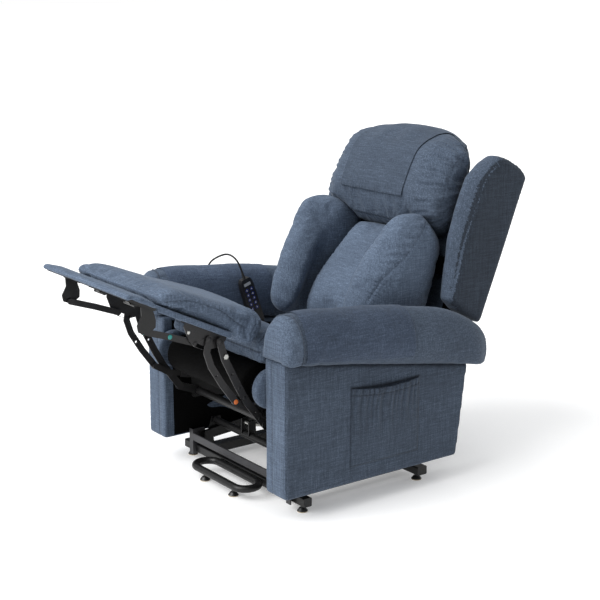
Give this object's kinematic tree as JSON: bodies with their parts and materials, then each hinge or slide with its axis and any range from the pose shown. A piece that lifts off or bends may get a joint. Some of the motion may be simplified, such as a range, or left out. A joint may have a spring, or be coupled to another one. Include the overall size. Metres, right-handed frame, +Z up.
{
  "type": "lift recliner chair",
  "caption": "Powered lift recliner armchair with wing back, soft rolled arms, folding leg rest, wired handset and a steel lift base that raises and tips the seat.",
  "frame": {"origin": "centre of the chair footprint box on the floor, without the handset lead", "axes": "+Z up, the chair faces -Y, +X is the occupant's left-hand side"},
  "size_m": [0.9123, 1.42, 1.083],
  "materials": {
    "fabric_blue": "woven slate-blue upholstery fabric",
    "fabric_blue_cover": "same fabric, loose covers",
    "lining_black": "black lining cloth",
    "steel_black": "black powder coat",
    "steel_bright": "zinc plated",
    "wood": "plywood",
    "plastic_black": "satin moulded plastic",
    "rubber_black": "cable jacket and feet",
    "key_blue": "printed key"
  },
  "bodies": {
    "base": {"base_side_rails": "steel_black", "base_cross_tubes": "steel_black", "front_loop_tube": "steel_black", "base_pivot_brackets": "steel_black", "floor_glides": "rubber_black"},
    "lift_arms": {"lift_frame": "steel_black"},
    "lift_link": {"lift_links": "steel_black"},
    "lift_motor": {"lift_motor_housing": "plastic_black"},
    "lift_rod": {"lift_motor_rod": "steel_bright"},
    "chair": {"chassis_side_plates": "steel_black", "chassis_cross_tubes": "steel_black", "chassis_bolts": "steel_bright", "link_hanger_plates": "steel_black", "seat_springs": "steel_bright", "seat_cushion": "fabric_blue", "front_rail": "lining_black", "front_rail_ends": "fabric_blue", "left_arm_panel": "fabric_blue", "right_arm_panel": "fabric_blue", "arm_timber_frames": "wood", "arm_linings": "lining_black", "arm_pads": "fabric_blue", "arm_caps": "fabric_blue_cover", "side_pocket": "fabric_blue", "control_box": "plastic_black", "handset_case": "plastic_black", "handset_cable_gland": "rubber_black", "handset_cable": "rubber_black", "cable_plug": "rubber_black"},
    "crank": {"torque_tube": "steel_black"},
    "link_a": {"link_bars_a": "steel_black"},
    "link_b": {"link_bars_b": "steel_black"},
    "link_c": {"link_bars_c": "steel_black"},
    "legrest": {"legrest_board": "wood", "legrest_pad": "fabric_blue", "legrest_brackets": "steel_black", "legrest_hinge_leaves": "steel_black"},
    "footrest": {"footrest_board": "steel_black", "footrest_pad": "fabric_blue"},
    "footrest_link": {"footrest_links": "steel_black"},
    "back": {"back_frame": "steel_black", "back_rear_panel": "fabric_blue", "back_wings": "fabric_blue", "head_cushion": "fabric_blue", "head_cover": "fabric_blue_cover", "back_cushion": "fabric_blue", "side_pillows": "fabric_blue"},
    "recline_motor": {"recline_motor_housing": "plastic_black"},
    "recline_rod": {"recline_motor_rod": "steel_bright"},
    "button_a_front_key": {"button_a_front": "key_blue"},
    "button_a_rear_key": {"button_a_rear": "key_blue"},
    "button_b_front_key": {"button_b_front": "key_blue"},
    "button_b_rear_key": {"button_b_rear": "key_blue"},
    "button_c_front_key": {"button_c_front": "key_blue"},
    "button_c_rear_key": {"button_c_rear": "key_blue"},
    "button_d_front_key": {"button_d_front": "key_blue"},
    "button_d_rear_key": {"button_d_rear": "key_blue"},
    "button_e_front_key": {"button_e_front": "key_blue"},
    "button_e_rear_key": {"button_e_rear": "key_blue"}
  },
  "joints": [
    {"name": "lift", "type": "hinge", "parent": "base", "child": "lift_arms", "pos_m": [0, -0.16146, 0.078], "axis": [1, 0, 0], "range_deg": [0, 55]},
    {"name": "chair_tilt", "type": "hinge", "parent": "lift_arms", "child": "chair", "pos_m": [0, 0.19354, 0.105], "axis": [1, 0, 0], "range_deg": [-29.02, 0]},
    {"name": "lift_link_swing", "type": "hinge", "parent": "base", "child": "lift_link", "pos_m": [0, -0.14326, 0.0889], "axis": [1, 0, 0], "range_deg": [0, 52.25]},
    {"name": "lift_motor_swing", "type": "hinge", "parent": "base", "child": "lift_motor", "pos_m": [0, 0.26354, 0.074], "axis": [1, 0, 0], "range_deg": [0, 0.1202]},
    {"name": "lift_motor_stroke", "type": "slide", "parent": "lift_motor", "child": "lift_rod", "axis": [0, -0.9697, 0.2444], "range_m": [0, 0.09956]},
    {"name": "legrest", "type": "hinge", "parent": "chair", "child": "legrest", "pos_m": [0, -0.32946, 0.527], "axis": [1, 0, 0], "range_deg": [0, 115.5]},
    {"name": "crank_turn", "type": "hinge", "parent": "chair", "child": "crank", "pos_m": [0, -0.17546, 0.245], "axis": [1, 0, 0], "range_deg": [0, 115.52]},
    {"name": "link_a_swing", "type": "hinge", "parent": "crank", "child": "link_a", "pos_m": [0, -0.24946, 0.274], "axis": [1, 0, 0], "range_deg": [-115.52, 0]},
    {"name": "link_c_swing", "type": "hinge", "parent": "chair", "child": "link_c", "pos_m": [0, -0.24046, 0.323], "axis": [1, 0, 0], "range_deg": [0, 115.52]},
    {"name": "link_b_swing", "type": "hinge", "parent": "link_c", "child": "link_b", "pos_m": [0, -0.34746, 0.362], "axis": [1, 0, 0], "range_deg": [-115.52, 0]},
    {"name": "footrest_fold", "type": "hinge", "parent": "legrest", "child": "footrest", "pos_m": [0, -0.60946, 0.668], "axis": [1, 0, 0], "range_deg": [0, 45.02]},
    {"name": "footrest_link_swing", "type": "hinge", "parent": "footrest", "child": "footrest_link", "pos_m": [0, -0.64146, 0.618], "axis": [1, 0, 0], "range_deg": [-49.02, 0]},
    {"name": "recline", "type": "hinge", "parent": "chair", "child": "back", "pos_m": [0, 0.30354, 0.3], "axis": [1, 0, 0], "range_deg": [-25, 9]},
    {"name": "recline_motor_swing", "type": "hinge", "parent": "chair", "child": "recline_motor", "pos_m": [0, -0.08146, 0.235], "axis": [1, 0, 0], "range_deg": [-0.5, 1.35]},
    {"name": "recline_motor_stroke", "type": "slide", "parent": "recline_motor", "child": "recline_rod", "axis": [0, 0.9986, -0.0533], "range_m": [-0.03622, 0.0131]},
    {"name": "button_a_front_press", "type": "slide", "parent": "chair", "child": "button_a_front_key", "axis": [-1, 0, 0], "range_m": [0, 0.001], "stiffness_N_per_m": 400, "springref_m": -0.0003},
    {"name": "button_a_rear_press", "type": "slide", "parent": "chair", "child": "button_a_rear_key", "axis": [-1, 0, 0], "range_m": [0, 0.001], "stiffness_N_per_m": 400, "springref_m": -0.0003},
    {"name": "button_b_front_press", "type": "slide", "parent": "chair", "child": "button_b_front_key", "axis": [-1, 0, 0], "range_m": [0, 0.001], "stiffness_N_per_m": 400, "springref_m": -0.0003},
    {"name": "button_b_rear_press", "type": "slide", "parent": "chair", "child": "button_b_rear_key", "axis": [-1, 0, 0], "range_m": [0, 0.001], "stiffness_N_per_m": 400, "springref_m": -0.0003},
    {"name": "button_c_front_press", "type": "slide", "parent": "chair", "child": "button_c_front_key", "axis": [-1, 0, 0], "range_m": [0, 0.001], "stiffness_N_per_m": 400, "springref_m": -0.0003},
    {"name": "button_c_rear_press", "type": "slide", "parent": "chair", "child": "button_c_rear_key", "axis": [-1, 0, 0], "range_m": [0, 0.001], "stiffness_N_per_m": 400, "springref_m": -0.0003},
    {"name": "button_d_front_press", "type": "slide", "parent": "chair", "child": "button_d_front_key", "axis": [-1, 0, 0], "range_m": [0, 0.001], "stiffness_N_per_m": 400, "springref_m": -0.0003},
    {"name": "button_d_rear_press", "type": "slide", "parent": "chair", "child": "button_d_rear_key", "axis": [-1, 0, 0], "range_m": [0, 0.001], "stiffness_N_per_m": 400, "springref_m": -0.0003},
    {"name": "button_e_front_press", "type": "slide", "parent": "chair", "child": "button_e_front_key", "axis": [-1, 0, 0], "range_m": [0, 0.001], "stiffness_N_per_m": 400, "springref_m": -0.0003},
    {"name": "button_e_rear_press", "type": "slide", "parent": "chair", "child": "button_e_rear_key", "axis": [-1, 0, 0], "range_m": [0, 0.001], "stiffness_N_per_m": 400, "springref_m": -0.0003}
  ],
  "couplings": [
    {"joint": "chair_tilt", "follows": "lift", "ratio": -0.52727},
    {"joint": "lift_link_swing", "follows": "lift", "ratio": 0.94966},
    {"joint": "lift_motor_swing", "follows": "lift", "ratio": 0.001822},
    {"joint": "lift_motor_stroke", "follows": "lift", "m_per_rad": 0.10361},
    {"joint": "crank_turn", "follows": "legrest", "ratio": 1},
    {"joint": "link_a_swing", "follows": "legrest", "ratio": -1},
    {"joint": "link_c_swing", "follows": "legrest", "ratio": 1},
    {"joint": "link_b_swing", "follows": "legrest", "ratio": -1},
    {"joint": "footrest_fold", "follows": "legrest", "ratio": 0.38961},
    {"joint": "footrest_link_swing", "follows": "legrest", "ratio": -0.42424},
    {"joint": "recline_motor_swing", "follows": "recline", "ratio": -0.053285},
    {"joint": "recline_motor_stroke", "follows": "recline", "m_per_rad": 0.08278}
  ]
}
